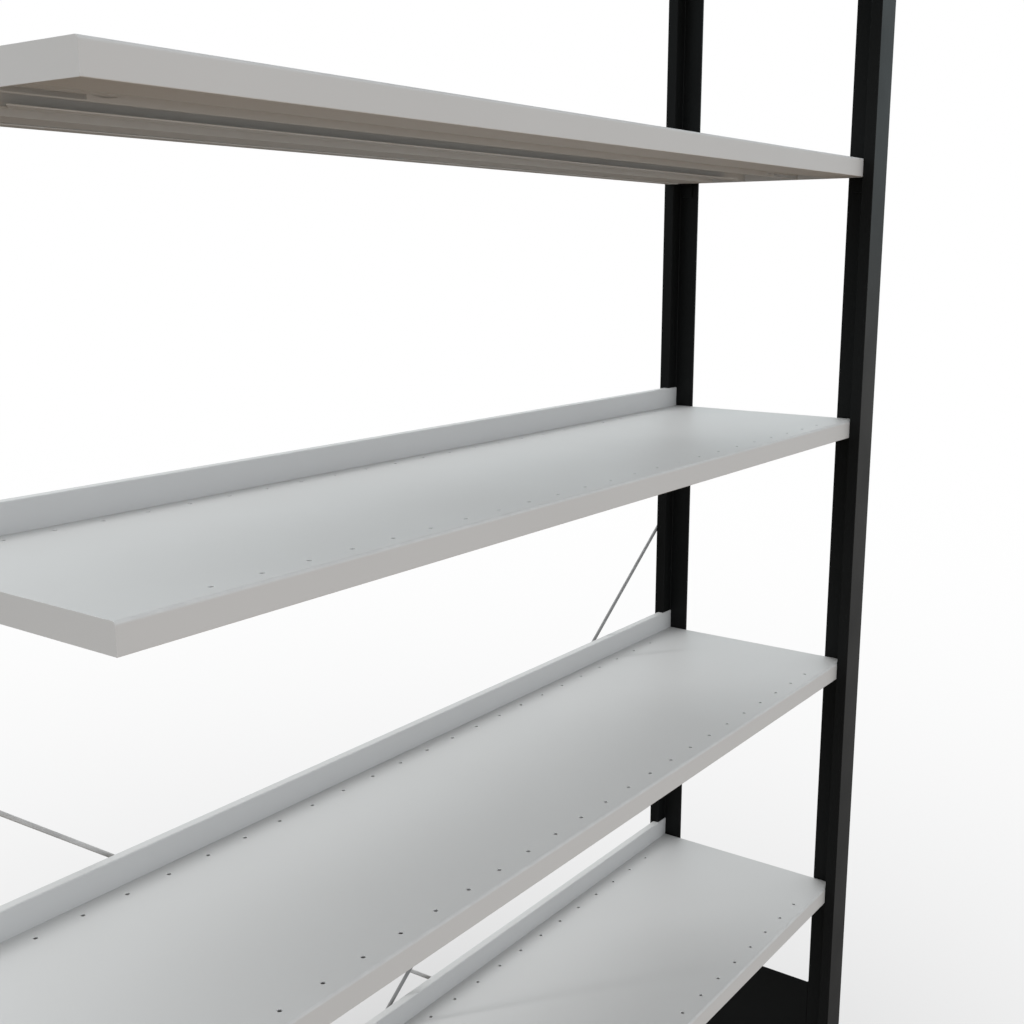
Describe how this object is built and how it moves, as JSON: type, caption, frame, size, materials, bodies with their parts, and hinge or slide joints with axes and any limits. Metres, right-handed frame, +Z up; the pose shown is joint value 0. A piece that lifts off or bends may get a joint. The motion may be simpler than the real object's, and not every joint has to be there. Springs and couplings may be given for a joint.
{
  "type": "file shelving unit",
  "caption": "Open steel file shelving bay: folded shelves with rear stops rest on a T-post side frame, crossed rods brace the back, and each shelf lifts off its supports.",
  "frame": {"origin": "bottom centre of the whole bay's box, on the floor", "axes": "+X along the shelves towards the side frame, +Y to the back, +Z up"},
  "size_m": [1.3342, 0.3422, 2.2],
  "materials": {
    "shelf_paint": "satin light grey powder coat",
    "post_paint": "satin black powder coat",
    "zinc": "zinc-plated steel",
    "foot_plastic": "matt black"
  },
  "bodies": {
    "side_frame": {"front_post": "post_paint", "rear_post": "post_paint", "lower_tie_panel": "post_paint", "upper_tie_panel": "post_paint", "front_foot": "foot_plastic", "rear_foot": "foot_plastic", "front_cap": "foot_plastic", "rear_cap": "foot_plastic", "lower_panel_screw_front_1": "zinc", "lower_panel_screw_front_2": "zinc", "lower_panel_screw_rear_1": "zinc", "lower_panel_screw_rear_2": "zinc", "upper_panel_screw_front_1": "zinc", "upper_panel_screw_front_2": "zinc", "upper_panel_screw_rear_1": "zinc", "upper_panel_screw_rear_2": "zinc", "support_front_1": "post_paint", "support_front_2": "post_paint", "support_front_3": "post_paint", "support_front_4": "post_paint", "support_front_5": "post_paint", "support_front_6": "post_paint", "support_rear_1": "post_paint", "support_rear_2": "post_paint", "support_rear_3": "post_paint", "support_rear_4": "post_paint", "support_rear_5": "post_paint", "support_rear_6": "post_paint", "brace_rod_1": "zinc", "brace_rod_2": "zinc", "brace_bolt_upper": "zinc", "brace_bolt_lower": "zinc", "brace_spacer": "zinc"},
    "shelf_1": {"shelf_tray_1": "shelf_paint", "shelf_stiffener_1": "shelf_paint", "rear_stop_1": "shelf_paint"},
    "shelf_2": {"shelf_tray_2": "shelf_paint", "shelf_stiffener_2": "shelf_paint", "rear_stop_2": "shelf_paint"},
    "shelf_3": {"shelf_tray_3": "shelf_paint", "shelf_stiffener_3": "shelf_paint", "rear_stop_3": "shelf_paint"},
    "shelf_4": {"shelf_tray_4": "shelf_paint", "shelf_stiffener_4": "shelf_paint", "rear_stop_4": "shelf_paint"},
    "shelf_5": {"shelf_tray_5": "shelf_paint", "shelf_stiffener_5": "shelf_paint", "rear_stop_5": "shelf_paint"},
    "shelf_6": {"shelf_tray_6": "shelf_paint", "shelf_stiffener_6": "shelf_paint", "rear_stop_6": "shelf_paint"}
  },
  "joints": [
    {"name": "shelf_1_lift", "type": "slide", "parent": "side_frame", "child": "shelf_1", "axis": [0, 0, 1], "range_m": [0, 0.3]},
    {"name": "shelf_2_lift", "type": "slide", "parent": "side_frame", "child": "shelf_2", "axis": [0, 0, 1], "range_m": [0, 0.3]},
    {"name": "shelf_3_lift", "type": "slide", "parent": "side_frame", "child": "shelf_3", "axis": [0, 0, 1], "range_m": [0, 0.3]},
    {"name": "shelf_4_lift", "type": "slide", "parent": "side_frame", "child": "shelf_4", "axis": [0, 0, 1], "range_m": [0, 0.3]},
    {"name": "shelf_5_lift", "type": "slide", "parent": "side_frame", "child": "shelf_5", "axis": [0, 0, 1], "range_m": [0, 0.3]},
    {"name": "shelf_6_lift", "type": "slide", "parent": "side_frame", "child": "shelf_6", "axis": [0, 0, 1], "range_m": [0, 0.3]}
  ]
}
